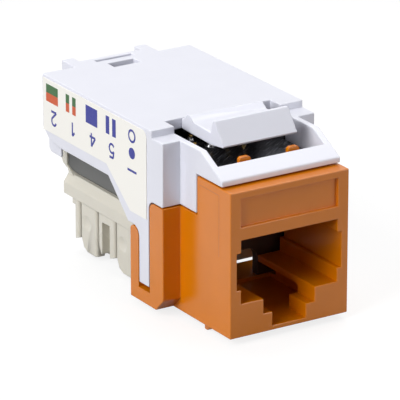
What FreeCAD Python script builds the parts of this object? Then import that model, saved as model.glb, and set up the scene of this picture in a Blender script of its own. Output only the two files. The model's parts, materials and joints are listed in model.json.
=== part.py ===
import FreeCAD, Part
import os
import re
import Sketcher

# Snap-in modular jack for a keystone opening, in millimetres.
# Origin: middle of the lower edge of the nose's front face.
# X runs across the jack, Y from the nose towards the wire terminals, Z up towards the latch.

SIZES = [
    # How far a cut runs past the face that it opens.
    ("overrun", 1.0),
    # Nose: the stepped front that passes through the panel.
    ("nose_width", 14.5),
    ("nose_height", 15.92),
    ("nose_depth", 9.64),
    ("nose_cheek_depth", 6.4),
    ("front_wall", 1.2),
    ("roof_wall", 1.0),
    ("panel_width", 11.86),
    ("panel_bottom", 12.05),
    ("panel_top", 15.1),
    ("panel_recess", 0.4),
    # Plug port, measured up from the underside of the nose.
    ("port_width", 11.8),
    ("port_floor", 3.7),
    ("port_top", 10.6),
    ("ear_width", 12.84),
    ("ear_floor", 5.2),
    ("ear_top", 9.2),
    ("key_width", 6.3),
    ("key_floor", 2.05),
    ("tab_slot_width", 4.1),
    ("tab_slot_floor", 0.5),
    ("latch_land", 3.2),
    ("rail_thickness", 0.7),
    ("undercut_width", 10.8),
    ("undercut_round", 0.45),
    # Snap fingers on the nose roof and the fixed lip under the nose.
    ("finger_spacing", 5.96),
    ("finger_width", 1.35),
    ("finger_front", 3.9),
    ("finger_thickness", 0.5),
    ("finger_drop", 1.6),
    ("finger_round", 0.35),
    ("lip_front", 3.9),
    ("lip_rear", 5.5),
    ("lip_land", 0.5),
    ("lip_drop", 0.7),
    ("lip_width", 13.8),
    # Wide rear part of the housing, with a slot in each side plate.
    ("body_width", 18.78),
    ("housing_length", 16.08),
    ("split_height", 11.65),
    ("shoulder_wall", 1.25),
    ("side_plate", 1.6),
    ("body_floor", 0.9),
    ("foot_chamfer", 1.43),
    ("slot_length", 2.23),
    ("post_thickness", 1.6),
    ("slot_floor", 1.5),
    ("post_top", 8.1),
    ("post_round", 0.55),
    ("post_front_round", 1.0),
    ("split_round", 0.8),
    ("seam", 0.17),
    # Cover over the circuit board.
    ("cover_top", 19.57),
    ("cover_plate", 1.2),
    ("cover_wall", 1.3),
    ("cover_rear", 34.3),
    ("plate_front", 11.9),
    ("shoulder_step", 0.75),
    ("throat_wall", 0.75),
    ("throat_rear", 13.85),
    ("bar_front", 1.63),
    ("bar_rear", 3.57),
    ("bar_height", 0.6),
    ("bar_gap", 0.18),
    ("slope_rear", 5.7),
    ("wing_bottom", 12.05),
    ("wing_heel", 20.6),
    ("block_gap", 0.52),
    ("tongue_gap", 0.6),
    ("heel_height", 13.6),
    ("heel_length", 4.2),
    ("heel_break", 1.3),
    ("heel_break_rise", 0.38),
    ("foot_inset", 0.79),
    ("foot_width", 1.7),
    ("foot_edge", 0.2),
    ("foot_length", 2.55),
    ("foot_drop", 1.45),
    ("foot_round", 0.7),
    ("ridge_depth", 1.45),
    ("ridge_width", 10.66),
    ("ridge_bottom", 13.4),
    ("lug_width", 1.46),
    ("lug_length", 1.35),
    ("lug_height", 1.3),
    ("groove_width", 4.7),
    ("groove_setback", 0.27),
    ("groove_gap", 0.6),
    ("groove_depth", 1.2),
    ("window_width", 3.3),
    ("window_setback", 0.75),
    ("window_length", 1.5),
    # Latch lever.
    ("lever_width", 9.0),
    ("lever_thickness", 1.2),
    ("lever_root_gap", 0.03),
    ("lever_drop", 0.12),
    ("bead_rise", 0.68),
    ("bead_slope", 0.67),
    ("bead_flat", 0.38),
    ("bead_length", 1.9),
    ("bead_rear", 13.3),
    ("bead_round", 0.18),
    ("catch_rear", 8.2),
    ("catch_rise", 1.53),
    ("catch_front", 7.4),
    ("catch_lean", 0.35),
    ("catch_bevel", 0.1),
    ("catch_root", 8.8),
    ("lever_tip", 5.6),
    ("tip_drop", 0.77),
    ("tip_back", 0.15),
    ("tip_edge", 0.2),
    # Circuit board.
    ("board_sink", 3.42),
    ("board_thickness", 1.2),
    ("board_gap", 0.14),
    ("pin_hole", 0.6),
    # Contact carrier and its eight spring contacts.
    ("carrier_rise", 0.3),
    ("carrier_rail", 0.75),
    ("carrier_tail", 0.5),
    ("carrier_gap", 0.05),
    ("stop_wall", 1.0),
    ("plug_depth", 11.9),
    ("stop_window_width", 7.6),
    ("stop_window_top", 4.2),
    ("stop_window_round", 1.3),
    ("contact_pitch", 1.016),
    ("contact_width", 0.45),
    ("contact_thickness", 0.35),
    ("contact_groove", 0.62),
    ("contact_groove_top", 12.65),
    ("contact_bend", 2.6),
    ("contact_headroom", 0.35),
    ("contact_tip", 9.3),
    ("contact_tip_height", 8.1),
    ("contact_curl", 0.9),
    ("curl_rise", 0.15),
    ("bend_flat", 0.2),
    ("bend_drop", 0.4),
    ("arm_gap", 0.15),
    ("lead_front", 3.35),
    ("lead_row_front", 12.9),
    ("lead_row_pitch", 2.3),
    ("pin_width", 0.4),
    ("pin_rise", 0.85),
    # Wire terminal block: a grey base under the board and a pale block with cutting towers.
    ("base_width", 12.4),
    ("base_bottom", 7.72),
    ("base_overhang", 0.05),
    ("base_bevel", 0.45),
    ("base_cut_length", 1.35),
    ("base_cut_rise", 0.81),
    ("base_knee_length", 0.52),
    ("base_knee_rise", 0.54),
    ("flange_width", 13.8),
    ("flange_bottom", 5.4),
    ("flange_edge", 1.35),
    ("ledge_drop", 0.8),
    ("ledge_setback", 1.15),
    ("tower_width", 13.2),
    ("tower_round", 0.35),
    ("channel_width", 7.8),
    ("tower_setback", 1.75),
    ("wire_slot", 0.35),
    ("tower_length", 3.33),
    ("tower_tip", -0.15),
    ("tower_taper", 0.75),
    ("tower_taper_height", 1.85),
    ("tower_bend", 0.6),
    ("tower_bend_rise", 0.3),
    ("leg_width", 1.0),
    ("leg_tip", 0.63),
    ("leg_slant", 0.32),
    ("frame_length", 3.42),
    ("frame_corner", 0.7),
    ("frame_corner_rise", 1.3),
    ("recess_length", 1.55),
    ("recess_top", 4.3),
    ("recess_depth", 0.95),
    ("dimple_radius", 0.95),
    ("dimple_depth", 0.22),
    ("dimple_height", 3.15),
    ("dimple_offset", 1.35),
    ("end_wall", 1.2),
    ("end_wall_width", 12.8),
    ("end_wall_gap", 0.05),
    ("end_wall_neck", 0.9),
    ("end_wall_bevel", 0.35),
    ("end_wall_bevel_rise", 0.55),
    ("end_wall_sole", 1.07),
    ("end_wall_sole_rise", 0.37),
    # Insulation-displacing blades.
    ("blade_thickness", 0.4),
    ("blade_length", 1.8),
    ("blade_slit", 0.26),
    ("blade_tip", 2.0),
    ("blade_lead_in", 0.5),
    ("blade_slit_top", 4.4),
    ("blade_shoulder_drop", 0.42),
    ("blade_clearance", 0.06),
    # Wiring label on one side of the cover.
    ("label_thickness", 0.1),
    ("label_inset", 0.3),
    ("label_margin", 1.3),
    ("label_toe_gap", 0.6),
    ("label_heel_gap", 0.2),
    ("label_round", 0.8),
]
NAMES = {name for name, value in SIZES}
CONTACT_COUNT = 8
PAIRS_PER_SIDE = 2
# The sign of X on the right and on the left of the middle plane.
MIRROR = ("", "-")
# Lengths and volumes closer than this count as equal.
TOLERANCE = 1e-4

doc = FreeCAD.newDocument("keystone_jack")
sheet = doc.addObject("Spreadsheet::Sheet", "Sizes")
for row, (alias, number) in enumerate(SIZES, 1):
    sheet.set(f"A{row}", alias)
    sheet.set(f"B{row}", str(number))
    sheet.setAlias(f"B{row}", alias)
doc.recompute()
bodies = []


def formula(text):
    """A formula in which each size's name points at its cell of the sheet."""
    return re.sub(r"[a-z_]+", lambda word: f"Sizes.{word[0]}" if word[0] in NAMES else word[0], str(text))


def size(text):
    """The present value of a formula, in millimetres."""
    result = sheet.evalExpression(str(text))
    return float(getattr(result, "Value", result))


def new_body(label):
    body = doc.addObject("PartDesign::Body", label)
    body.Label = label
    body.Placement = FreeCAD.Placement()
    bodies.append(body)
    return body


def attach(body, plane, name, offset="0"):
    """An empty sketch on one of the body's own origin planes, moved along that plane's normal."""
    sketch = body.newObject("Sketcher::SketchObject", name)
    role = plane + "_Plane"
    sketch.AttachmentSupport = [(next(f for f in body.Origin.OriginFeatures if f.Role == role), "")]
    sketch.MapMode = "FlatFace"
    sketch.setExpression(".AttachmentOffset.Base.z", formula(offset))
    return sketch


def bind(sketch, constraint, text):
    """Add a dimension to a sketch and tie it to a formula of the sheet."""
    sketch.setExpression(f"Constraints[{sketch.addConstraint(constraint)}]", formula(text))


def outline(body, plane, name, loops, offset="0"):
    """A sketch of closed straight-sided loops, each corner given as two formulas."""
    sketch = attach(body, plane, name, offset)
    for loop in loops:
        first = sketch.GeometryCount
        corners = [FreeCAD.Vector(size(u), size(v), 0) for u, v in loop]
        for start, end in zip(corners, corners[1:] + corners[:1]):
            sketch.addGeometry(Part.LineSegment(start, end), False)
        for index, (u, v) in enumerate(loop):
            line = first + index
            after = first + (index + 1) % len(loop)
            sketch.addConstraint(Sketcher.Constraint("Coincident", line, 2, after, 1))
            bind(sketch, Sketcher.Constraint("DistanceX", -1, 1, line, 1, corners[index].x), u)
            bind(sketch, Sketcher.Constraint("DistanceY", -1, 1, line, 1, corners[index].y), v)
    return sketch


def box(left, low, right, high):
    """The four corners of a rectangle, as formulas."""
    return [(left, low), (right, low), (right, high), (left, high)]


def across(width, low, high):
    """A rectangle centred on the jack's middle plane."""
    return box(f"-({width}) / 2", low, f"({width}) / 2", high)


def both_sides(half):
    """A loop of one half's corners and their mirror images across the middle plane."""
    return half + [(f"-({u})", v) for u, v in reversed(half)]


def pad(body, sketch, length, symmetric=False, backwards=False):
    """Add material along the sketch's normal; backwards adds it on the other side."""
    feature = body.newObject("PartDesign::Pad", sketch.Name + "_pad")
    feature.Profile = sketch
    feature.SideType = "Symmetric" if symmetric else "One side"
    feature.Reversed = backwards
    feature.setExpression("Length", formula(length))
    sketch.Visibility = False
    doc.recompute()
    return feature


def pocket(body, sketch, length, symmetric=False, forwards=False):
    """Cut against the sketch's normal; forwards cuts along it. A pocket has to remove material."""
    before = body.Shape.Volume
    feature = body.newObject("PartDesign::Pocket", sketch.Name + "_pocket")
    feature.Profile = sketch
    feature.SideType = "Symmetric" if symmetric else "One side"
    feature.Reversed = forwards
    feature.setExpression("Length", formula(length))
    sketch.Visibility = False
    doc.recompute()
    if body.Shape.Volume > before - TOLERANCE:
        raise RuntimeError(f"{feature.Name} cuts nothing")
    return feature


def dress(body, kind, name, amount, wanted):
    """Round or bevel every edge of the body that passes the test."""
    base = body.Tip
    chosen = [f"Edge{n}" for n, edge in enumerate(base.Shape.Edges, 1) if wanted(edge)]
    if not chosen:
        raise RuntimeError(f"{name} finds no edge")
    feature = body.newObject("PartDesign::" + kind, name)
    feature.Base = (base, chosen)
    feature.setExpression("Radius" if kind == "Fillet" else "Size", formula(amount))
    doc.recompute()
    return feature


def runs_along(edge, axis):
    """Whether an edge is straight and parallel to the axis of that letter."""
    if edge.Curve.TypeId != "Part::GeomLine":
        return False
    return abs(abs(getattr(edge.tangentAt(edge.FirstParameter), axis)) - 1) < TOLERANCE


def near(value, text):
    """Whether a coordinate lies on the plane that a formula gives."""
    return abs(value - size(text)) < TOLERANCE


def on_line(edge, y, z):
    """Whether an edge runs across the jack at a height and depth given as formulas."""
    return runs_along(edge, "x") and near(edge.CenterOfMass.y, y) and near(edge.CenterOfMass.z, z)


# Places that several pieces share, as formulas.
SHOULDER_REAR = "nose_depth + shoulder_wall"
ROOF_REAR = "finger_front + finger_thickness"
SLOT_REAR = "housing_length - post_thickness"
SLOT_FRONT = f"{SLOT_REAR} - slot_length"
SPLIT_TOP = "split_height + seam"
BAR_BOTTOM = "nose_height + bar_gap"
BAR_NOSE = f"{BAR_BOTTOM} + bar_height"
THROAT_INNER = "nose_width - 2 * throat_wall"
WALL_FRONT = "cover_rear - cover_plate"
LEVER_ROOT = "throat_rear - lever_root_gap"
LEVER_TOP = "cover_top"
FINGER_TOP = f"{LEVER_TOP} - finger_drop"
SHOULDER_TOP = "cover_top - shoulder_step"
BOARD_TOP = "cover_top - board_sink"
BOARD_BOTTOM = f"{BOARD_TOP} - board_thickness"
PIN_TOP = f"{BOARD_TOP} + pin_rise"
CARRIER_BOTTOM = "port_top + carrier_rise"
CONTACT_TOP = "contact_groove_top - contact_headroom"
BLOCK_FRONT = "housing_length + block_gap"
BASE_REAR = "cover_rear + base_overhang"
LEDGE_REAR = "cover_rear - ledge_setback"
LEDGE_BOTTOM = "flange_bottom - ledge_drop"
TOWERS_REAR = "cover_rear - tower_setback - leg_width - wire_slot"
PAIR_PITCH = "(tower_length + frame_length + 2 * wire_slot)"


def front_housing():
    """Nose with the plug port, and a wider rear part that the cover snaps on to."""
    body = new_body("front_housing")
    slab = across("nose_width", "0", "nose_depth + foot_chamfer")
    pad(body, outline(body, "XY", "nose", [slab]), "nose_height")
    side = [("nose_depth", "foot_chamfer"), ("nose_depth + foot_chamfer", "0"), ("housing_length", "0"),
            ("housing_length", "post_top"), (SLOT_REAR, "post_top"), (SLOT_REAR, "slot_floor"),
            (SLOT_FRONT, "slot_floor"), (SLOT_FRONT, "split_height"), ("nose_depth", "split_height")]
    pad(body, outline(body, "YZ", "side_plates", [side]), "body_width", symmetric=True)
    above = box("nose_cheek_depth", "split_height", "housing_length", "nose_height + overrun")
    pocket(body, outline(body, "YZ", "board_seat", [above]), "body_width", symmetric=True)
    inside = across("body_width - 2 * side_plate", "body_floor", "split_height + overrun")
    pocket(body, outline(body, "XZ", "rear_room", [inside], f"-({SHOULDER_REAR})"), "housing_length")

    port = [("tab_slot_width / 2", "tab_slot_floor"), ("tab_slot_width / 2", "key_floor"),
            ("key_width / 2", "key_floor"), ("key_width / 2", "port_floor")]
    pocket(body, outline(body, "XZ", "key_steps", [both_sides(port)]), "latch_land")
    wall = [("port_width / 2", "port_floor"), ("port_width / 2", "ear_floor"),
            ("ear_width / 2", "ear_floor"), ("ear_width / 2", "ear_top"),
            ("port_width / 2", "ear_top"), ("port_width / 2", "port_top")]
    tunnel = outline(body, "XZ", "plug_tunnel", [both_sides(wall)])
    pocket(body, tunnel, f"{SHOULDER_REAR} + overrun")
    rail_bottom = "port_floor - rail_thickness"
    low = [("undercut_width / 2", "tab_slot_floor"), ("undercut_width / 2", rail_bottom),
           ("key_width / 2", rail_bottom), ("key_width / 2", "port_floor")]
    undercut = outline(body, "XZ", "latch_undercut", [both_sides(low)], "-latch_land")
    pocket(body, undercut, f"{SHOULDER_REAR} + overrun - latch_land")
    chamber = across("ear_width", "port_top", "nose_height - roof_wall")
    pocket(body, outline(body, "XZ", "carrier_room", [chamber], "-front_wall"), SHOULDER_REAR)
    hatch = across("ear_width", ROOF_REAR, "nose_depth")
    pocket(body, outline(body, "XY", "roof_opening", [hatch], "nose_height"), "roof_wall + overrun")
    plaque = across("panel_width", "panel_bottom", "panel_top")
    pocket(body, outline(body, "XZ", "front_panel", [plaque]), "panel_recess")

    roots = "nose_height - roof_wall"
    pair = [box(f"{sign}finger_spacing / 2 - finger_width / 2", roots,
                f"{sign}finger_spacing / 2 + finger_width / 2", FINGER_TOP) for sign in MIRROR]
    pad(body, outline(body, "XZ", "fingers", pair, "-finger_front"), "finger_thickness", backwards=True)
    lip = [("lip_front", "tab_slot_floor / 2"), ("lip_front", "0"), ("lip_rear - lip_land", "-lip_drop"),
           ("lip_rear", "-lip_drop"), ("lip_rear", "tab_slot_floor / 2")]
    pad(body, outline(body, "YZ", "fixed_lip", [lip]), "lip_width", symmetric=True)
    dress(body, "Fillet", "finger_ends", "finger_round",
          lambda e: runs_along(e, "y") and near(e.CenterOfMass.z, FINGER_TOP))
    dress(body, "Fillet", "undercut_ends", "undercut_round",
          lambda e: on_line(e, "latch_land", rail_bottom))
    dress(body, "Fillet", "post_backs", "post_round",
          lambda e: on_line(e, "housing_length", "post_top"))
    dress(body, "Fillet", "post_fronts", "post_front_round",
          lambda e: on_line(e, SLOT_REAR, "post_top"))
    dress(body, "Fillet", "slot_mouths", "split_round",
          lambda e: on_line(e, SLOT_FRONT, "split_height"))


def rear_cover():
    """Cover with a raised top, a sloping throat round the latch, and two snap-in tongues."""
    body = new_body("rear_cover")
    tongue_front = f"{SLOT_FRONT} + seam"
    tongue_rear = f"{SLOT_REAR} - seam"
    side = [("nose_depth", SPLIT_TOP), ("nose_depth", SHOULDER_TOP), ("plate_front", SHOULDER_TOP),
            ("plate_front", "cover_top"), ("cover_rear", "cover_top"), ("cover_rear", "heel_height"),
            ("cover_rear - heel_break", "wing_bottom + heel_break_rise"),
            ("cover_rear - heel_length", "wing_bottom"),
            ("wing_heel", "wing_bottom"), (BLOCK_FRONT, "post_top + seam"),
            (tongue_rear, "post_top + seam"), (tongue_rear, "slot_floor + tongue_gap"),
            (tongue_front, "slot_floor + tongue_gap"), (tongue_front, SPLIT_TOP)]
    pad(body, outline(body, "YZ", "shell", [side]), "body_width", symmetric=True)
    ceiling = f"{SHOULDER_TOP} - cover_plate"
    inside = [(SHOULDER_REAR, "-overrun"), (SHOULDER_REAR, ceiling),
              ("plate_front + cover_plate", ceiling),
              ("plate_front + cover_plate", "cover_top - cover_plate"),
              (WALL_FRONT, "cover_top - cover_plate"), (WALL_FRONT, "-overrun")]
    pocket(body, outline(body, "YZ", "board_room", [inside]), "body_width - 2 * cover_wall",
           symmetric=True)
    behind_nose = "nose_depth + shoulder_wall / 2"
    slope = [("bar_front", BAR_BOTTOM), ("bar_front", BAR_NOSE), ("slope_rear", SHOULDER_TOP),
             (behind_nose, SHOULDER_TOP), (behind_nose, SPLIT_TOP),
             ("nose_cheek_depth + seam", SPLIT_TOP), ("nose_cheek_depth + seam", BAR_BOTTOM)]
    pad(body, outline(body, "YZ", "throat", [slope]), "nose_width", symmetric=True)
    opening = across(THROAT_INNER, "bar_rear", "throat_rear")
    pocket(body, outline(body, "XY", "throat_opening", [opening], "cover_top + overrun"), "cover_top")

    ridge = across("ridge_width", "ridge_bottom", "cover_top")
    pad(body, outline(body, "XZ", "rear_ridge", [ridge], "-cover_rear"), "ridge_depth", backwards=True)
    lugs = [box(f"{sign}(ridge_width / 2)", "cover_top - lug_height",
                f"{sign}(ridge_width / 2 - lug_width)", "cover_top") for sign in MIRROR]
    pad(body, outline(body, "XZ", "lugs", lugs, "-cover_rear"), "ridge_depth + lug_length",
        backwards=True)
    foot_side = "body_width / 2 - foot_inset"
    foot_front = "cover_rear - foot_length"
    feet = [[(f"{sign}({foot_side})", "cover_rear"), (f"{sign}({foot_side})", foot_front),
             (f"{sign}({foot_side} - foot_edge)", foot_front),
             (f"{sign}({foot_side} - foot_width)", "cover_rear")] for sign in MIRROR]
    foot_bottom = "wing_bottom - foot_drop"
    pad(body, outline(body, "XY", "feet", feet, foot_bottom), f"heel_height - ({foot_bottom})")
    groove_front = "cover_rear + groove_setback"
    groove = across("groove_width", groove_front, f"{groove_front} + groove_gap")
    pocket(body, outline(body, "XY", "ridge_groove", [groove], "cover_top"), "groove_depth")
    window_rear = "cover_rear - window_setback"
    window = across("window_width", f"{window_rear} - window_length", window_rear)
    pocket(body, outline(body, "XY", "top_window", [window], "cover_top"), "cover_plate + seam")
    dress(body, "Fillet", "foot_heels", "foot_round",
          lambda e: on_line(e, "cover_rear", foot_bottom))
    dress(body, "Fillet", "tongue_roots", "post_front_round + seam",
          lambda e: on_line(e, tongue_rear, "post_top + seam"))
    dress(body, "Fillet", "tongue_necks", "split_round + seam",
          lambda e: on_line(e, tongue_front, SPLIT_TOP))


def latch_lever():
    """Springy lever with a bead and a catch; the panel's edge sits between them."""
    body = new_body("latch_lever")
    underside = f"{LEVER_TOP} - lever_thickness"
    catch_top = f"{LEVER_TOP} + catch_rise"
    tip_height = f"{LEVER_TOP} - tip_drop"
    profile = [(LEVER_ROOT, underside), (LEVER_ROOT, LEVER_TOP), ("bead_rear", LEVER_TOP),
               ("bead_rear - bead_slope", f"{LEVER_TOP} + bead_rise"),
               ("bead_rear - bead_slope - bead_flat", f"{LEVER_TOP} + bead_rise"),
               ("bead_rear - bead_length", f"{LEVER_TOP} + lever_drop"),
               ("catch_rear", f"{LEVER_TOP} + lever_drop"),
               ("catch_rear - catch_lean", f"{catch_top} - catch_bevel"), ("catch_front", catch_top),
               ("lever_tip", tip_height), ("lever_tip + tip_back", f"{tip_height} - tip_edge"),
               ("catch_root", f"{underside} - lever_drop")]
    pad(body, outline(body, "YZ", "lever_profile", [profile]), "lever_width", symmetric=True)
    dress(body, "Fillet", "bead_crest", "bead_round",
          lambda e: runs_along(e, "x") and near(e.CenterOfMass.z, f"{LEVER_TOP} + bead_rise"))


def lead_x(index):
    """Where a contact stands across the port."""
    return f"{index - (CONTACT_COUNT - 1) / 2} * contact_pitch"


def lead_y(index):
    """Alternate contacts meet the board in two rows."""
    return f"lead_row_front + {index % 2} * lead_row_pitch"


def tower_rear(pair):
    """The rear face of each pair's tower, counted from the rear."""
    return f"{TOWERS_REAR} - {pair} * {PAIR_PITCH}"


def slot_places():
    """The middle of each wire slot along the jack, from the rear to the front."""
    places = []
    for pair in range(PAIRS_PER_SIDE):
        tower = tower_rear(pair)
        places += [f"{tower} + wire_slot / 2", f"{tower} - tower_length - wire_slot / 2"]
    return places


def blade_x(sign):
    """The middle of a row of towers."""
    return f"{sign}(tower_width + channel_width) / 4"


def hole(x, y):
    """A square hole that clears a pin."""
    half = "pin_hole / 2"
    return box(f"{x} - {half}", f"{y} - {half}", f"{x} + {half}", f"{y} + {half}")


def circuit_board():
    """Board that joins the spring contacts to the blades, narrow in the throat and wide behind it."""
    body = new_body("circuit_board")
    neck = f"{SHOULDER_REAR} + board_gap"
    front = across("ear_width - 2 * board_gap", f"{ROOF_REAR} + board_gap", f"{neck} + overrun")
    rear = across("body_width - 2 * cover_wall - 2 * board_gap", neck, f"{WALL_FRONT} - board_gap")
    thick = "board_thickness"
    pad(body, outline(body, "XY", "board_rear_half", [rear], BOARD_BOTTOM), thick)
    pad(body, outline(body, "XY", "board_front_half", [front], BOARD_BOTTOM), thick)
    holes = [hole(lead_x(n), lead_y(n)) for n in range(CONTACT_COUNT)]
    holes += [hole(blade_x(sign), place) for sign in MIRROR for place in slot_places()]
    pocket(body, outline(body, "XY", "pin_holes", holes, BOARD_TOP), thick)


def contact_carrier():
    """Comb that holds the spring contacts, with the wall that stops the plug."""
    body = new_body("contact_carrier")
    low = "port_top + carrier_gap"
    roof = "nose_height - roof_wall - carrier_gap"
    front = "front_wall + seam"
    rail_rear = f"{front} + carrier_rail"
    comb_rear = "lead_row_front + lead_row_pitch + carrier_tail"
    profile = [(front, low), (front, roof), (ROOF_REAR, roof), (ROOF_REAR, BOARD_BOTTOM),
               (comb_rear, BOARD_BOTTOM), (comb_rear, CARRIER_BOTTOM), (rail_rear, CARRIER_BOTTOM),
               (rail_rear, low)]
    pad(body, outline(body, "YZ", "comb", [profile]), "ear_width - 2 * seam", symmetric=True)
    wall = across("body_width - 2 * side_plate - 2 * carrier_gap", "body_floor + carrier_gap",
                  CARRIER_BOTTOM)
    pad(body, outline(body, "XZ", "stop_wall", [wall], "-plug_depth"), "stop_wall", backwards=True)
    window = across("stop_window_width", "-overrun", "stop_window_top")
    pocket(body, outline(body, "XZ", "stop_window", [window], "overrun / 2 - plug_depth"),
           "stop_wall + overrun")
    half = "contact_groove / 2"
    grooves = [box(f"{lead_x(n)} - {half}", f"{CARRIER_BOTTOM} - seam",
                   f"{lead_x(n)} + {half}", "contact_groove_top") for n in range(CONTACT_COUNT)]
    groove_front = f"{front} + carrier_rail / 2"
    pocket(body, outline(body, "XZ", "comb_grooves", grooves, f"-({groove_front})"), comb_rear)
    shafts = [hole(lead_x(n), lead_y(n)) for n in range(CONTACT_COUNT)]
    pocket(body, outline(body, "XY", "pin_shafts", shafts, BOARD_BOTTOM),
           f"{BOARD_TOP} - contact_groove_top")
    dress(body, "Fillet", "stop_window_corners", "stop_window_round",
          lambda e: runs_along(e, "y") and near(e.CenterOfMass.z, "stop_window_top"))


def plug_contact(index):
    """Moving arm of a spring contact: a bend at the front and a long slope down to the rear."""
    body = new_body(f"plug_contact_{index + 1}")
    root = "lead_front - arm_gap"
    end = "contact_tip + contact_curl"
    arm = [(root, CONTACT_TOP), ("contact_bend + bend_flat", CONTACT_TOP),
           ("contact_bend", f"{CONTACT_TOP} - bend_drop"), ("contact_tip", "contact_tip_height"),
           (end, "contact_tip_height + curl_rise"),
           (end, "contact_tip_height + curl_rise + contact_thickness"),
           ("contact_tip", "contact_tip_height + contact_thickness"),
           (root, f"{CONTACT_TOP} - contact_thickness")]
    start = f"{lead_x(index)} - contact_width / 2"
    pad(body, outline(body, "YZ", f"arm_{index + 1}", [arm], start), "contact_width")


def contact_lead(index):
    """Fixed end of a spring contact: back through the comb, then up through the board."""
    body = new_body(f"contact_lead_{index + 1}")
    pin_front = f"{lead_y(index)} - pin_width / 2"
    pin_rear = f"{lead_y(index)} + pin_width / 2"
    underside = f"{CONTACT_TOP} - contact_thickness"
    lead = [("lead_front", underside), (pin_rear, underside), (pin_rear, PIN_TOP),
            (pin_front, PIN_TOP), (pin_front, CONTACT_TOP), ("lead_front", CONTACT_TOP)]
    start = f"{lead_x(index)} - pin_width / 2"
    pad(body, outline(body, "YZ", f"lead_{index + 1}", [lead], start), "pin_width")


def idc_base():
    """Grey base between the board and the terminal block, with a shaft for each blade."""
    body = new_body("idc_base")
    wall_face = f"{WALL_FRONT} - end_wall_gap"
    wall_foot = "wing_bottom - end_wall_gap"
    profile = [(BLOCK_FRONT, "base_bottom"), (f"{BASE_REAR} - base_cut_length", "base_bottom"),
               (f"{BASE_REAR} - base_knee_length", "base_bottom + base_knee_rise"),
               (BASE_REAR, "base_bottom + base_cut_rise"), (BASE_REAR, wall_foot),
               (wall_face, wall_foot), (wall_face, BOARD_BOTTOM), (BLOCK_FRONT, BOARD_BOTTOM)]
    pad(body, outline(body, "YZ", "base_profile", [profile]), "base_width", symmetric=True)
    shafts = [hole(blade_x(sign), place) for sign in MIRROR for place in slot_places()]
    pocket(body, outline(body, "XY", "blade_shafts", shafts, BOARD_BOTTOM), BOARD_TOP)
    dress(body, "Chamfer", "base_edges", "base_bevel",
          lambda e: runs_along(e, "y") and near(e.CenterOfMass.z, "base_bottom")
          and near(abs(e.CenterOfMass.x), "base_width / 2"))


def leg(rear):
    """The two lower corners of a narrow leg, which slants up towards the front."""
    return [(rear, "leg_tip"), (f"{rear} - leg_width", "leg_tip + leg_slant")]


def tower_row(pair):
    """Side outline of one pair's tower and the frame in front of it."""
    tower = tower_rear(pair)
    tower_front = f"{tower} - tower_length"
    frame = f"{tower_front} - wire_slot"
    frame_front = f"{frame} - frame_length"
    taper = f"{tower} - tower_taper"
    return [
        [(tower, "flange_bottom"), (tower, "tower_tip + tower_taper_height"),
         (taper, "tower_tip + tower_bend_rise"), (f"{taper} - tower_bend", "tower_tip"),
         (tower_front, "tower_tip"), (tower_front, "flange_bottom")],
        [(frame, "flange_bottom"), (frame, "leg_tip + frame_corner_rise"),
         (f"{frame} - frame_corner", "leg_tip")] + leg(f"{frame_front} + leg_width")
        + [(frame_front, "flange_bottom")],
    ]


def dimple(body, pair, sign):
    """A shallow round hollow in the outer face of a tower."""
    before = body.Shape.Volume
    side = "left" if sign else "right"
    ball = body.newObject("PartDesign::SubtractiveSphere", f"dimple_{pair}_{side}")
    radius = "((dimple_radius ^ 2 + dimple_depth ^ 2) / (2 * dimple_depth))"
    ball.setExpression("Radius", formula(radius))
    ball.setExpression(".Placement.Base.x",
                       formula(f"{sign}(tower_width / 2 - dimple_depth + {radius})"))
    ball.setExpression(".Placement.Base.y", formula(f"{tower_rear(pair)} - dimple_offset"))
    ball.setExpression(".Placement.Base.z", formula("dimple_height"))
    doc.recompute()
    if body.Shape.Volume > before - TOLERANCE:
        raise RuntimeError(f"{ball.Name} cuts nothing")


def end_wall(body):
    """Wall behind the grey base, which hooks under its cut lower corner."""
    wall_front = f"{BASE_REAR} + end_wall_gap"
    wall_rear = f"{wall_front} + end_wall"
    wall_top = "ridge_bottom - end_wall_gap"
    knee = (f"{wall_front} - base_knee_length", "base_bottom + base_knee_rise - end_wall_gap")
    root = "base_bottom - end_wall_gap"
    neck = f"{wall_front} - base_cut_length"
    corner = f"{wall_rear} - end_wall_bevel"
    corner_height = "base_bottom + base_cut_rise"
    wall = [(wall_front, wall_top), (wall_front, "base_bottom + base_cut_rise - end_wall_gap"), knee,
            (neck, root), (f"{neck} + end_wall_neck", root),
            (f"{corner} - end_wall_sole", f"{corner_height} - end_wall_sole_rise"), (corner, corner_height),
            (wall_rear, f"{corner_height} + end_wall_bevel_rise"), (wall_rear, wall_top)]
    pad(body, outline(body, "YZ", "end_wall", [wall]), "end_wall_width", symmetric=True)


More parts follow.
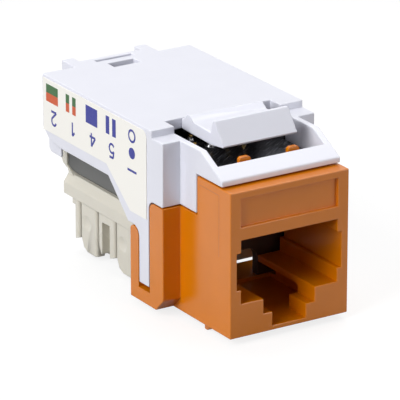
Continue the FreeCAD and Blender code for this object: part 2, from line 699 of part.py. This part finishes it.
def idc_block():
    """Pale terminal block: a stepped flange, two rows of wire-cutting towers and an end wall."""
    body = new_body("idc_block")
    half = [("flange_width / 2", "flange_bottom"), ("flange_width / 2", "flange_bottom + flange_edge"),
            ("base_width / 2", "base_bottom")]
    flange = outline(body, "XZ", "flange", [both_sides(half)], f"-({BLOCK_FRONT})")
    pad(body, flange, f"cover_rear - ({BLOCK_FRONT})", backwards=True)
    rear_leg = f"{TOWERS_REAR} + wire_slot + leg_width"
    loops = [[(LEDGE_REAR, "flange_bottom"), (LEDGE_REAR, LEDGE_BOTTOM), (rear_leg, LEDGE_BOTTOM)]
             + leg(rear_leg) + [(f"{rear_leg} - leg_width", "flange_bottom")]]
    loops += [loop for pair in range(PAIRS_PER_SIDE) for loop in tower_row(pair)]
    pad(body, outline(body, "YZ", "towers", loops), "tower_width", symmetric=True)
    channel = box(f"{BLOCK_FRONT} - overrun", "tower_tip - overrun", f"{LEDGE_REAR} + overrun",
                  LEDGE_BOTTOM)
    pocket(body, outline(body, "YZ", "cable_channel", [channel]), "channel_width", symmetric=True)
    side = "tower_width / 2"
    dress(body, "Fillet", "tower_edges", "tower_round",
          lambda e: runs_along(e, "z") and near(abs(e.CenterOfMass.x), side))

    slit_half = "blade_thickness / 2 + blade_clearance"
    reach = "blade_length / 2 + blade_clearance"
    slits = [box(f"{blade_x(sign)} - ({slit_half})", f"{place} - ({reach})",
                 f"{blade_x(sign)} + {slit_half}", f"{place} + {reach}")
             for sign in MIRROR for place in slot_places()]
    through = "base_bottom - tower_tip + overrun"
    pocket(body, outline(body, "XY", "blade_slits", slits, "base_bottom"), through)
    recesses = []
    for pair in range(PAIRS_PER_SIDE):
        recess_front = f"{tower_rear(pair + 1)} + wire_slot + leg_width"
        recesses.append(box(f"{recess_front} + recess_length", "tower_tip - overrun",
                            recess_front, "recess_top"))
    pocket(body, outline(body, "YZ", "right_recesses", recesses, side), "recess_depth")
    pocket(body, outline(body, "YZ", "left_recesses", recesses, f"-({side})"), "recess_depth",
           forwards=True)
    for pair in range(PAIRS_PER_SIDE):
        for sign in MIRROR:
            dimple(body, pair, sign)
    end_wall(body)


def idc_blade(number, sign, place):
    """Forked blade that cuts into a wire, with a pin up through the base and the board."""
    body = new_body(f"idc_blade_{number}")
    shoulder = "base_bottom - blade_shoulder_drop"
    half = [("blade_slit / 2", "blade_slit_top"),
            ("blade_slit / 2", "blade_tip + blade_lead_in"), ("blade_slit", "blade_tip"),
            ("blade_length / 2", "blade_tip"), ("blade_length / 2", shoulder),
            ("pin_width / 2", shoulder), ("pin_width / 2", PIN_TOP)]
    rear = [(f"{place} + {u}", v) for u, v in half]
    front = [(f"{place} - {u}", v) for u, v in reversed(half)]
    start = f"{blade_x(sign)} - blade_thickness / 2"
    pad(body, outline(body, "YZ", f"blade_{number}", [rear + front], start), "blade_thickness")


def side_label():
    """Thin wiring label on the left side of the cover, following its lower edge."""
    body = new_body("side_label")
    front = f"{SLOT_FRONT} + seam + label_inset"
    rear = "cover_rear - label_inset"
    top = "cover_top - label_inset"
    bottom = "wing_bottom + label_margin"
    toe = "post_top + seam + label_margin"
    shape = [(front, toe), (f"{BLOCK_FRONT} - label_toe_gap", toe), ("wing_heel + label_heel_gap", bottom),
             (rear, bottom), (rear, top), (front, top)]
    face = "-body_width / 2 - label_thickness"
    pad(body, outline(body, "YZ", "label_shape", [shape], face), "label_thickness")
    dress(body, "Fillet", "label_corners", "label_round",
          lambda e: runs_along(e, "x") and near(e.CenterOfMass.y, front) and near(e.CenterOfMass.z, top))


def export():
    """Check every object, then write one STEP file for each sub-part."""
    doc.recompute()
    for item in doc.Objects:
        if "Invalid" in item.State or "Error" in item.State:
            raise RuntimeError(f"{item.Name}: {item.State}")
    os.makedirs("parts", exist_ok=True)
    for body in bodies:
        if body.Shape.isNull() or not body.Shape.isValid() or len(body.Shape.Solids) != 1:
            raise RuntimeError(f"{body.Label} is not one valid solid")
        body.Shape.exportStep(f"parts/{body.Label}.step")


front_housing()
rear_cover()
latch_lever()
circuit_board()
contact_carrier()
for index in range(CONTACT_COUNT):
    plug_contact(index)
    contact_lead(index)
idc_base()
idc_block()
blade_places = [(sign, place) for sign in MIRROR for place in slot_places()]
for number, (sign, place) in enumerate(blade_places, 1):
    idc_blade(number, sign, place)
side_label()
export()
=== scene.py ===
import json
import math

import bmesh
import bpy
from mathutils import Matrix, Vector

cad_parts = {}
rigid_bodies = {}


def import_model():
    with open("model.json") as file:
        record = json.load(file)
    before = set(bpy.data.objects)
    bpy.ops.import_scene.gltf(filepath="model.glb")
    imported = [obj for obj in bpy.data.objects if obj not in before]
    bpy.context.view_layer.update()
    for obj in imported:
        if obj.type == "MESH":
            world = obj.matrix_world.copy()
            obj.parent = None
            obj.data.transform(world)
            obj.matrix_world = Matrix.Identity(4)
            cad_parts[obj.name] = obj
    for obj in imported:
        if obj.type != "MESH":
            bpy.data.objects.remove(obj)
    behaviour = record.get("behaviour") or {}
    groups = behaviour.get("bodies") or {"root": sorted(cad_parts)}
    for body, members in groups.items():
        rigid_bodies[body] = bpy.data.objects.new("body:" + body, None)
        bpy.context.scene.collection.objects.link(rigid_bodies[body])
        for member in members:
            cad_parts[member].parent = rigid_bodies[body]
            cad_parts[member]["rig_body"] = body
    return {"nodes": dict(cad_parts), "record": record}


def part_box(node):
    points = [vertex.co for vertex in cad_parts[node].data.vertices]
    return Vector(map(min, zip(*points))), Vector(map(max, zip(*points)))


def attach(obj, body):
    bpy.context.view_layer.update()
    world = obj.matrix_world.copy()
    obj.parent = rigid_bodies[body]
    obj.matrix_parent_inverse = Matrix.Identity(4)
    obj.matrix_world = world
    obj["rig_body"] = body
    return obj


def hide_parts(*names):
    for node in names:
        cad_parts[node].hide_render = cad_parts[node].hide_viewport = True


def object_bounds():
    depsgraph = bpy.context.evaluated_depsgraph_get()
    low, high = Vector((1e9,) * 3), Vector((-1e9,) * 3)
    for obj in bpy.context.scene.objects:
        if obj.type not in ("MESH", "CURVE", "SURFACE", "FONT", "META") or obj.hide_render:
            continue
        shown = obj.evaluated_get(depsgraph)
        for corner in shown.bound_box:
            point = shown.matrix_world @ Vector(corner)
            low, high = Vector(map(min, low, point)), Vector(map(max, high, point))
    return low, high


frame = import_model()
CAD_LOW, CAD_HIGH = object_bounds()

# A modular network jack. Sizes are in millimetres and become metres through MM. Only the camera's
# clipping distances, the lamps' distances and sizes, LABEL_FACE and FLOOR_TOP are in metres.
MM = 0.001
BODY = "jack"
CONTACTS = range(1, 9)


# ---------------------------------------------------------------- camera

TARGET_MM = Vector((0.0, 13.0, 9.0))
AZIMUTH = -32.18
ELEVATION = 20.25
DISTANCE_MM = 403.0
ASIDE_MM = 2.30
RAISE_MM = -0.78
FOCAL_MM = 344.5
SENSOR_MM = 36.0
NEAREST, FARTHEST = 0.01, 20.0


def direction(azimuth, elevation):
    """Unit vector from the jack to a viewer or lamp, from angles in degrees. Azimuth 0 faces the nose."""
    a, e = math.radians(azimuth), math.radians(elevation)
    return Vector((math.sin(a) * math.cos(e), -math.cos(a) * math.cos(e), math.sin(e)))


def put(name, data, location, back):
    """Link a camera or lamp that looks against the vector back."""
    thing = bpy.data.objects.new(name, data)
    thing.location = location
    thing.rotation_mode = "QUATERNION"
    thing.rotation_quaternion = (-back).to_track_quat("-Z", "Y")
    bpy.context.scene.collection.objects.link(thing)
    return thing


def make_camera():
    """The photograph's viewpoint: to the left of the nose and a little above it."""
    back = direction(AZIMUTH, ELEVATION)
    right = Vector((math.cos(math.radians(AZIMUTH)), math.sin(math.radians(AZIMUTH)), 0.0))
    up = back.cross(right)
    target = (TARGET_MM - ASIDE_MM * right - RAISE_MM * up) * MM
    data = bpy.data.cameras.new("camera")
    data.lens = FOCAL_MM
    data.sensor_width = SENSOR_MM
    data.clip_start = NEAREST
    data.clip_end = FARTHEST
    bpy.context.scene.camera = put("camera", data, target + back * DISTANCE_MM * MM, back)


# ---------------------------------------------------------------- materials

# Sockets of a Mix node that mixes colours. Its sockets for other kinds have the same names.
MIX_FIRST, MIX_SECOND, MIX_RESULT = 6, 7, 2
EDGE_SAMPLES = 6


def srgb(red, green, blue):
    """A colour as seen on a screen, 0 to 255, as the linear values that a shader takes."""
    def linear(value):
        value /= 255
        return value / 12.92 if value <= 0.04045 else ((value + 0.055) / 1.055) ** 2.4
    return (linear(red), linear(green), linear(blue), 1.0)


def grey(level):
    return srgb(level, level, level)


def scaled(colour, factor):
    return tuple(min(1.0, part * factor) for part in colour[:3]) + (1.0,)


class Shader:
    """A Principled material with helpers for the procedural detail that feeds it."""

    def __init__(self, name, **sockets):
        self.material = bpy.data.materials.new(name)
        self.material.use_nodes = True
        self.nodes = self.material.node_tree.nodes
        self.links = self.material.node_tree.links
        self.surface = self.nodes["Principled BSDF"]
        self.place = self.nodes.new("ShaderNodeTexCoord").outputs["Object"]
        for socket, value in sockets.items():
            self.surface.inputs[socket.replace("_", " ")].default_value = value

    def join(self, source, node, socket):
        self.links.new(source, node.inputs[socket])

    def noise(self, size_mm, detail=2.0, roughness=0.5, stretch=(1, 1, 1), turn=0.0):
        """Noise whose features are about size_mm across, stretched along the axes turned about Z."""
        mapping = self.nodes.new("ShaderNodeMapping")
        mapping.vector_type = "TEXTURE"
        mapping.inputs["Rotation"].default_value[2] = math.radians(turn)
        mapping.inputs["Scale"].default_value = [size_mm * MM * part for part in stretch]
        self.join(self.place, mapping, "Vector")
        node = self.nodes.new("ShaderNodeTexNoise")
        node.inputs["Scale"].default_value = 1.0
        node.inputs["Detail"].default_value = detail
        node.inputs["Roughness"].default_value = roughness
        self.join(mapping.outputs["Vector"], node, "Vector")
        return node.outputs["Fac"]

    def remap(self, source, low, high, from_low=0.3, from_high=0.7):
        """Stretch a span of the source, by default the one that most noise lies in, and clip the rest."""
        node = self.nodes.new("ShaderNodeMapRange")
        node.inputs["From Min"].default_value = from_low
        node.inputs["From Max"].default_value = from_high
        node.inputs["To Min"].default_value = low
        node.inputs["To Max"].default_value = high
        self.join(source, node, "Value")
        return node.outputs["Result"]

    def blend(self, factor, first, second):
        """A colour between two, each a colour or another node's output."""
        node = self.nodes.new("ShaderNodeMix")
        node.data_type = "RGBA"
        self.join(factor, node, "Factor")
        for socket, value in ((MIX_FIRST, first), (MIX_SECOND, second)):
            if isinstance(value, tuple):
                node.inputs[socket].default_value = value
            else:
                self.join(value, node, socket)
        return node.outputs[MIX_RESULT]

    def colour(self, source):
        self.join(source, self.surface, "Base Color")

    def roughness(self, size_mm, low, high):
        """Uneven gloss. The wide span clips nothing, because a clipped patch shows as a mark."""
        varied = self.remap(self.noise(size_mm, detail=1.0), low, high, from_low=0.1, from_high=0.9)
        self.join(varied, self.surface, "Roughness")

    def bumps(self, *layers, edge_mm=0.0):
        """Relief from (height source, depth in millimetres) layers, finest last, over rounded edges."""
        normal = None
        if edge_mm:
            rounded = self.nodes.new("ShaderNodeBevel")
            rounded.samples = EDGE_SAMPLES
            rounded.inputs["Radius"].default_value = edge_mm * MM
            normal = rounded.outputs["Normal"]
        for height, depth_mm in layers:
            node = self.nodes.new("ShaderNodeBump")
            node.inputs["Strength"].default_value = 1.0
            node.inputs["Distance"].default_value = depth_mm * MM
            self.join(height, node, "Height")
            if normal:
                self.join(normal, node, "Normal")
            normal = node.outputs["Normal"]
        self.join(normal, self.surface, "Normal")


# How far apart the features of moulded plastic lie: flow mottling, gloss, waviness and eroded grain.
FLOW_MM = 3.5
GLOSS_MM = 6.0
WAVE_MM = 4.0
GRAIN_MM = 0.12
GLOSS_SPREAD = 0.01


def moulded_plastic(name, colour, rough, edge_mm, mottle=0.03, wave_depth=0.005, grain_depth=0.0010,
                    **sockets):
    """Injection-moulded plastic: faint flow mottling, a slight waviness and a fine eroded grain."""
    shader = Shader(name, IOR=1.5, **sockets)
    flow = shader.remap(shader.noise(FLOW_MM, detail=3.0), 0.0, 1.0)
    shader.colour(shader.blend(flow, scaled(colour, 1 - mottle), scaled(colour, 1 + mottle)))
    shader.roughness(GLOSS_MM, rough - GLOSS_SPREAD, rough + GLOSS_SPREAD)
    shader.bumps((shader.noise(WAVE_MM, detail=1.0), wave_depth),
                 (shader.noise(GRAIN_MM, detail=1.0), grain_depth), edge_mm=edge_mm)
    return shader.material


def circuit_mask():
    """Glossy black solder mask, a little uneven, with dust and hairline scratches."""
    shader = Shader("board_mask", IOR=1.52)
    specks = shader.noise(0.12, detail=1.0)
    dust = shader.remap(specks, 0.0, 1.0, from_low=0.70, from_high=0.74)
    hairs = shader.noise(0.05, detail=2.0, roughness=0.6, stretch=(50, 1.5, 4), turn=35)
    scratch = shader.remap(hairs, 0.0, 1.0, from_low=0.58, from_high=0.68)
    base = shader.blend(shader.noise(1.6, detail=3.0), srgb(22, 22, 24), srgb(44, 44, 47))
    marked = shader.blend(scratch, base, srgb(136, 136, 142))
    shader.colour(shader.blend(dust, marked, srgb(150, 150, 152)))
    shader.roughness(2.5, 0.18, 0.28)
    shader.bumps((shader.noise(0.9, detail=1.0), 0.010), (scratch, -0.003))
    return shader.material


def plated_metal(name, colour, rough, drawn):
    """Plated strip with faint drawing lines, which run along the axes where drawn is large."""
    shader = Shader(name, Metallic=1.0)
    lines = shader.noise(0.04, detail=2.0, roughness=0.6, stretch=drawn)
    shader.colour(shader.blend(lines, scaled(colour, 0.86), colour))
    shader.roughness(0.3, rough - 0.06, rough + 0.06)
    shader.bumps((lines, 0.0015))
    return shader.material


def solder():
    """Bright solder with a slightly dimpled skin."""
    shader = Shader("solder", Metallic=1.0)
    shader.colour(shader.blend(shader.noise(0.3), srgb(170, 172, 174), srgb(222, 223, 224)))
    shader.roughness(0.2, 0.16, 0.34)
    shader.bumps((shader.noise(0.15, detail=2.0), 0.006))
    return shader.material


def label_film():
    """Cream printable film with a matt coat and a trace of paper fibre."""
    shader = Shader("label_film", IOR=1.46)
    fibre = shader.noise(0.06, detail=3.0, roughness=0.7, stretch=(1, 3, 1))
    shader.colour(shader.blend(fibre, srgb(236, 234, 228), srgb(246, 244, 239)))
    shader.roughness(0.5, 0.48, 0.62)
    shader.bumps((fibre, 0.0015))
    return shader.material


def ink(name, colour):
    """Printed ink, a little thin where the film's fibre stands proud."""
    shader = Shader(name, IOR=1.46)
    thin = shader.remap(shader.noise(0.07, detail=3.0, roughness=0.7), 0.0, 1.0, from_low=0.5, from_high=0.8)
    paler = tuple(0.94 * part + 0.06 for part in colour[:3]) + (1.0,)
    shader.colour(shader.blend(thin, colour, paler))
    shader.roughness(0.3, 0.40, 0.54)
    return shader.material


MATERIALS = {
    "orange_plastic": moulded_plastic("orange_plastic", srgb(207, 116, 0), rough=0.22, edge_mm=0.10),
    # The witness lines' darker orange is painted shade, standing in for the micro-shadow along the mould's
    # parting line.
    "orange_seam_painted_shade": moulded_plastic("orange_seam_painted_shade", srgb(150, 76, 0), rough=0.40, edge_mm=0.0),
    "white_plastic": moulded_plastic("white_plastic", srgb(220, 221, 231), rough=0.29, edge_mm=0.12,
                                     mottle=0.01, wave_depth=0.003, grain_depth=0.0003),
    "board_mask": circuit_mask(),
    "carrier_plastic": moulded_plastic("carrier_plastic", srgb(66, 48, 38), rough=0.42, edge_mm=0.08,
                                       mottle=0.1),
    "contact_gold": plated_metal("contact_gold", srgb(226, 188, 116), rough=0.24, drawn=(1, 14, 14)),
    "grey_plastic": moulded_plastic("grey_plastic", srgb(84, 85, 84), rough=0.42, edge_mm=0.10),
    "beige_plastic": moulded_plastic("beige_plastic", srgb(209, 205, 193), rough=0.28, edge_mm=0.07,
                                     mottle=0.01, wave_depth=0.001, grain_depth=0.0004,
                                     Subsurface_Weight=0.3, Subsurface_Scale=0.0004,
                                     Subsurface_Radius=(1.0, 0.95, 0.85)),
    "blade_tin": plated_metal("blade_tin", srgb(205, 205, 202), rough=0.30, drawn=(1, 1, 14)),
    "label_film": label_film(),
    "solder": solder(),
    "ink_blue": ink("ink_blue", srgb(38, 44, 138)),
    "ink_green": ink("ink_green", srgb(44, 92, 44)),
    "ink_red": ink("ink_red", srgb(196, 82, 38)),
}


# ---------------------------------------------------------------- pieces

def add_piece(name, mesh, material, body=BODY):
    """Link a mesh as a piece that rides on a body and takes its finish from a slot of the record."""
    piece = bpy.data.objects.new(name, mesh)
    mesh.materials.clear()
    mesh.materials.append(MATERIALS[material])
    bpy.context.scene.collection.objects.link(piece)
    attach(piece, body)
    return piece


def from_bmesh(name, build):
    mesh = bpy.data.meshes.new(name)
    build.to_mesh(mesh)
    build.free()
    return mesh


# Outer edges turn a corner above the first angle. Every edge above the second is shaded as a crease.
CORNER = math.radians(30)
CREASE = math.radians(38)
FLAT = math.radians(1.0)
WELD_MM = 0.001
# An edge has room for a radius when it is this many times as long.
ROOM = 2.2
ROUNDING_STEPS = 3

PRINT_MM = 0.015
RADII_MM = {
    "front_housing": 0.12,
    "rear_cover": 0.12,
    "latch_lever": 0.18,
    "circuit_board": 0.03,
    "contact_carrier": 0,
    "idc_base": 0.03,
    "idc_block": 0.08,
    "side_label": 0.02,
}
WIRE_RADIUS_MM = 0.05
BLADE_RADIUS_MM = 0.04


def soften(node, radius_mm, inset_mm=0.0):
    """Stand in for a node with a copy of its shape whose outer edges have a small moulded radius.

    Edges that end beside one too short for the radius stay as they are. An inset draws the face at
    the lowest X back, to leave room for print on it.
    """
    source = frame["nodes"][node]
    build = bmesh.new()
    build.from_mesh(source.data)
    bmesh.ops.scale(build, vec=(1 / MM,) * 3, verts=build.verts)
    bmesh.ops.remove_doubles(build, verts=build.verts, dist=WELD_MM)
    lowest = min(v.co.x for v in build.verts)
    outer = [v for v in build.verts if v.co.x < lowest + inset_mm]
    bmesh.ops.translate(build, vec=(inset_mm, 0, 0), verts=outer)
    bmesh.ops.dissolve_limit(build, angle_limit=FLAT, verts=build.verts, edges=build.edges)
    crowded = {v for e in build.edges if e.calc_length() < ROOM * radius_mm for v in e.verts}
    edges = [e for e in build.edges if e.is_manifold and e.calc_face_angle_signed() > CORNER
             and crowded.isdisjoint(e.verts)]
    if radius_mm:
        bmesh.ops.bevel(build, geom=edges, offset=radius_mm, offset_type="OFFSET",
                        segments=ROUNDING_STEPS, profile=0.5, affect="EDGES", clamp_overlap=True)
    bmesh.ops.scale(build, vec=(MM,) * 3, verts=build.verts)
    for face in build.faces:
        face.smooth = True
    for edge in build.edges:
        edge.smooth = edge.is_manifold and edge.calc_face_angle() < CREASE
    mesh = from_bmesh(node + "_skin", build)
    material = next(p["material_slot"] for p in frame["record"]["subparts"] if p["node"] == node)
    piece = add_piece(node + "_skin", mesh, material, source["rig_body"])
    weighted = piece.modifiers.new("flat_faces", "WEIGHTED_NORMAL")
    weighted.keep_sharp = True
    weighted.weight = 100
    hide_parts(node)


def make_shells():
    for node, radius in RADII_MM.items():
        soften(node, radius, inset_mm=PRINT_MM if node == "side_label" else 0.0)
    for number in CONTACTS:
        soften(f"plug_contact_{number}", WIRE_RADIUS_MM)
        soften(f"contact_lead_{number}", WIRE_RADIUS_MM)
        soften(f"idc_blade_{number}", BLADE_RADIUS_MM)


# ---------------------------------------------------------------- label print

LABEL_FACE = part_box("side_label")[0].x
# Along the jack, in millimetres: where each printed bar starts and ends.
SOLID_BARS = ((30.80, 33.30), (22.57, 24.95))
STRIPED_BARS = ((28.40, 29.12), (27.04, 27.77), (20.11, 20.81), (18.79, 19.50))
# Bars behind this place are green over red, and those in front of it are blue.
TWO_COLOURS_FROM = 25.0
BAR_LOW = 16.77
BAR_HIGH = 18.74
NUMERALS = (("2", 31.7), ("1", 27.7), ("4", 23.6), ("5", 19.65))
NUMERAL_MIDDLE = 15.12
NUMERAL_HEIGHT = 1.5
STROKE = 0.26
# A plain ring, dot and dash in front of the numbers: their place along the jack and how high they stand.
MARK_ALONG = 15.55
RING_UP, DOT_UP, DASH_UP = 17.95, 16.05, 14.1
MARK_RADIUS = 0.62
DASH_HALF = 0.9
CIRCLE_STEPS = 24


def arc(centre, radius, start, end, steps=10):
    """Points on an arc, with its angles in degrees."""
    angles = [math.radians(start + (end - start) * n / steps) for n in range(steps + 1)]
    return [(centre[0] + radius * math.cos(a), centre[1] + radius * math.sin(a)) for a in angles]


def circle(centre, radius):
    return arc(centre, radius, 0, 360, CIRCLE_STEPS)[:-1]


def rectangle(start, end, low, high):
    return [(start, low), (end, low), (end, high), (start, high)]


# Centre lines of the numerals, one unit high, upright. A stroke ends at every sharp corner.
GLYPHS = {
    "1": [[(-0.24, 0.22), (0.06, 0.5)], [(0.06, 0.5), (0.06, -0.5)]],
    "2": [arc((0, 0.19), 0.31, 165, -35) + [(-0.34, -0.5)], [(-0.34, -0.5), (0.36, -0.5)]],
    "4": [[(0.14, -0.5), (0.14, 0.5)], [(0.14, 0.5), (-0.38, -0.20)], [(-0.38, -0.20), (0.38, -0.20)]],
    "5": [[(0.30, 0.5), (-0.20, 0.5)], [(-0.20, 0.5), (-0.28, 0.0)], arc((-0.01, -0.17), 0.33, 145, -150)],
}


def side_patch(name, corners_mm, outer, depth_mm, material):
    """A thin patch on a side of the jack, from the plane at X = outer inwards.

    Its corners are given along and up the jack.
    """
    build = bmesh.new()
    face = build.faces.new([build.verts.new((outer, along * MM, up * MM)) for along, up in corners_mm])
    moved = bmesh.ops.extrude_face_region(build, geom=[face])["geom"]
    bmesh.ops.translate(build, vec=(-math.copysign(depth_mm * MM, outer), 0, 0),
                        verts=[v for v in moved if isinstance(v, bmesh.types.BMVert)])
    bmesh.ops.recalc_face_normals(build, faces=build.faces)
    add_piece(name, from_bmesh(name, build), material)


def print_face(name, corners_mm, material):
    """A printed area on the label."""
    side_patch(name, corners_mm, LABEL_FACE, PRINT_MM, material)


def stroke(name, points, height_mm, along_mm, up_mm, closed=False):
    """A printed line of even width, turned upside down as the jack hangs latch down in use."""
    curve = bpy.data.curves.new(name, "CURVE")
    curve.dimensions = "3D"
    curve.bevel_depth = STROKE / 2
    curve.use_fill_caps = True
    line = curve.splines.new("POLY")
    line.points.add(len(points) - 1)
    for point, (u, v) in zip(line.points, points):
        point.co = (0, u * height_mm, -v * height_mm, 1)
    line.use_cyclic_u = closed
    holder = bpy.data.objects.new(name, curve)
    bpy.context.scene.collection.objects.link(holder)
    bpy.context.view_layer.update()
    mesh = bpy.data.meshes.new_from_object(holder.evaluated_get(bpy.context.evaluated_depsgraph_get()))
    bpy.data.objects.remove(holder)
    mesh.transform(Matrix.Diagonal((PRINT_MM / STROKE * MM, MM, MM, 1)))
    mesh.transform(Matrix.Translation((LABEL_FACE + PRINT_MM * MM / 2, along_mm * MM, up_mm * MM)))
    add_piece(name, mesh, "ink_blue")


def make_label_print():
    middle = (BAR_LOW + BAR_HIGH) / 2
    for number, (start, end) in enumerate(SOLID_BARS + STRIPED_BARS, 1):
        if start > TWO_COLOURS_FROM:
            print_face(f"bar_{number}_green", rectangle(start, end, middle, BAR_HIGH), "ink_green")
            print_face(f"bar_{number}_red", rectangle(start, end, BAR_LOW, middle), "ink_red")
        else:
            print_face(f"bar_{number}_blue", rectangle(start, end, BAR_LOW, BAR_HIGH), "ink_blue")
    for text, along in NUMERALS:
        for number, line in enumerate(GLYPHS[text], 1):
            stroke(f"label_number_{text}_{number}", line, NUMERAL_HEIGHT, along, NUMERAL_MIDDLE)
    stroke("label_ring", circle((0, 0), MARK_RADIUS), 1.0, MARK_ALONG, RING_UP, closed=True)
    print_face("label_dot", circle((MARK_ALONG, DOT_UP), MARK_RADIUS), "ink_blue")
    stroke("label_dash", [(-DASH_HALF, 0), (DASH_HALF, 0)], 1.0, MARK_ALONG, DASH_UP)


# ---------------------------------------------------------------- witness lines

WITNESS_FRONT, WITNESS_REAR = 2.15, 6.0
WITNESS_LOW, WITNESS_HIGH = 8.4, 15.1
WITNESS_WIDTH = 0.045
WITNESS_PROUD = 0.004
NOSE_HALF_WIDTH = 7.25


def make_witness_lines():
    """The faint line that a slide of the mould left on each cheek of the nose, drawn as a barely proud strip
    whose darker orange is painted shade.
    """
    upright = rectangle(WITNESS_FRONT, WITNESS_FRONT + WITNESS_WIDTH, WITNESS_LOW, WITNESS_HIGH)
    level = rectangle(WITNESS_FRONT, WITNESS_REAR, WITNESS_HIGH, WITNESS_HIGH + WITNESS_WIDTH)
    for side, sign in (("left", -1), ("right", 1)):
        outer = sign * (NOSE_HALF_WIDTH + WITNESS_PROUD) * MM
        for run, corners in (("upright", upright), ("level", level)):
            # The strips take the darker orange, which is painted shade.
            side_patch(f"witness_{side}_{run}", corners, outer, WITNESS_WIDTH, "orange_seam_painted_shade")


# ---------------------------------------------------------------- solder joints

# The (radius, height) profile of a solder cone, from the board upwards.
SOLDER_MM = ((0.54, 0.0), (0.51, 0.05), (0.42, 0.16), (0.37, 0.32), (0.34, 0.50), (0.22, 0.60))
LATHE_STEPS = 20


def lathe(name, profile_mm, centre):
    """Turn a (radius, height) profile, in millimetres, round an upright axis."""
    build = bmesh.new()
    rings = []
    for radius, height in profile_mm:
        angles = [2 * math.pi * n / LATHE_STEPS for n in range(LATHE_STEPS)]
        rings.append([build.verts.new((centre.x + radius * MM * math.cos(a),
                                       centre.y + radius * MM * math.sin(a),
                                       centre.z + height * MM)) for a in angles])
    for low, high in zip(rings, rings[1:]):
        for n in range(LATHE_STEPS):
            after = (n + 1) % LATHE_STEPS
            build.faces.new((low[n], low[after], high[after], high[n]))
    build.faces.new(list(reversed(rings[0])))
    build.faces.new(rings[-1])
    for face in build.faces:
        face.smooth = True
    return from_bmesh(name, build)


def make_solder():
    """A solder cone round every pin that comes up through the board."""
    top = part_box("circuit_board")[1].z
    for number in CONTACTS:
        low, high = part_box(f"contact_lead_{number}")
        # The lead's pin is as deep as it is wide, and stands at the lead's rear end.
        pin = Vector(((low.x + high.x) / 2, high.y - (high.x - low.x) / 2, top))
        add_piece(f"solder_contact_{number}", lathe("solder", SOLDER_MM, pin), "solder")
        low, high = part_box(f"idc_blade_{number}")
        pin = Vector(((low.x + high.x) / 2, (low.y + high.y) / 2, top))
        add_piece(f"solder_blade_{number}", lathe("solder", SOLDER_MM, pin), "solder")


# ---------------------------------------------------------------- studio

FLOOR_TOP = CAD_LOW.z - 0.02 * MM
FLOOR_REACH_MM = 110.0
FLOOR_SIDES = 96
# The floor starts to fade and is gone at these shares of its reach.
FADE_START, FADE_END = 0.5, 0.98
# The floor's greys, as seen by the camera, in reflections, and by the light that bounces off it.
FLOOR_PAPER = 128, 131
FLOOR_MIRRORED = 252
FLOOR_BOUNCE = 125
FLOOR_GLOW = 0.80
PAPER_MM = 90.0
WHITE = (1.0, 1.0, 1.0, 1.0)
BACKDROP_LIGHT = 0.12


def seen_by(nodes, links, *kinds):
    """1 for the named kinds of ray, 0 for all others."""
    path = nodes.new("ShaderNodeLightPath")
    total = path.outputs[kinds[0]]
    for other in kinds[1:]:
        larger = nodes.new("ShaderNodeMath")
        larger.operation = "MAXIMUM"
        links.new(total, larger.inputs[0])
        links.new(path.outputs[other], larger.inputs[1])
        total = larger.outputs[0]
    return total


def make_floor():
    """A round pale floor just under the jack's lowest point, which fades into the white backdrop."""
    middle = (TARGET_MM.x * MM, TARGET_MM.y * MM, FLOOR_TOP)
    build = bmesh.new()
    bmesh.ops.create_circle(build, cap_ends=True, segments=FLOOR_SIDES, radius=FLOOR_REACH_MM * MM)
    bmesh.ops.translate(build, vec=middle, verts=build.verts)
    floor = bpy.data.objects.new("floor", from_bmesh("floor", build))
    shader = Shader("floor", Roughness=0.95, Specular_IOR_Level=0.2)
    direct = seen_by(shader.nodes, shader.links, "Is Camera Ray", "Is Transmission Ray")
    mirrored = seen_by(shader.nodes, shader.links, "Is Glossy Ray")
    paper = shader.blend(shader.noise(PAPER_MM, detail=1.0), *map(grey, FLOOR_PAPER))
    unseen = shader.blend(mirrored, grey(FLOOR_BOUNCE), grey(FLOOR_MIRRORED))
    shader.colour(shader.blend(direct, unseen, paper))
    shader.surface.inputs["Emission Color"].default_value = WHITE
    glow = shader.remap(direct, 0.0, FLOOR_GLOW, from_low=0.0, from_high=1.0)
    shader.join(glow, shader.surface, "Emission Strength")
    away = shader.nodes.new("ShaderNodeVectorMath")
    away.operation = "DISTANCE"
    shader.join(shader.place, away, 0)
    away.inputs[1].default_value = middle
    reach = FLOOR_REACH_MM * MM
    fade = shader.remap(away.outputs["Value"], 1.0, 0.0,
                        from_low=reach * FADE_START, from_high=reach * FADE_END)
    shader.join(fade, shader.surface, "Alpha")
    floor.data.materials.append(shader.material)
    bpy.context.scene.collection.objects.link(floor)


def area_light(name, azimuth, elevation, distance, width, height, level):
    """A soft light aimed at the jack's middle. A level of 1 shows a facing colour as written."""
    data = bpy.data.lights.new(name, "AREA")
    data.shape = "RECTANGLE"
    data.size = width
    data.size_y = height
    data.energy = level * (math.pi * distance) ** 2
    back = direction(azimuth, elevation)
    put(name, data, TARGET_MM * MM + back * distance, back)


def make_light():
    """A white backdrop that adds little light of its own, and three large soft lights."""
    world = bpy.data.worlds.new("studio")
    world.use_nodes = True
    nodes, links = world.node_tree.nodes, world.node_tree.links
    strength = nodes.new("ShaderNodeMapRange")
    strength.inputs["To Min"].default_value = BACKDROP_LIGHT
    strength.inputs["To Max"].default_value = 1.0
    seen = seen_by(nodes, links, "Is Camera Ray", "Is Glossy Ray", "Is Transmission Ray")
    links.new(seen, strength.inputs["Value"])
    nodes["Background"].inputs["Color"].default_value = WHITE
    links.new(strength.outputs["Result"], nodes["Background"].inputs["Strength"])
    bpy.context.scene.world = world
    area_light("key", azimuth=-81, elevation=30, distance=0.6, width=0.36, height=0.56, level=1.14)
    area_light("fill", azimuth=45, elevation=10, distance=0.8, width=0.50, height=0.40, level=0.35)
    area_light("top", azimuth=140, elevation=63, distance=0.6, width=0.56, height=0.50, level=0.69)


make_camera()
make_shells()
make_label_print()
make_witness_lines()
make_solder()
make_floor()
make_light()
bpy.context.scene.view_settings.view_transform = "Standard"
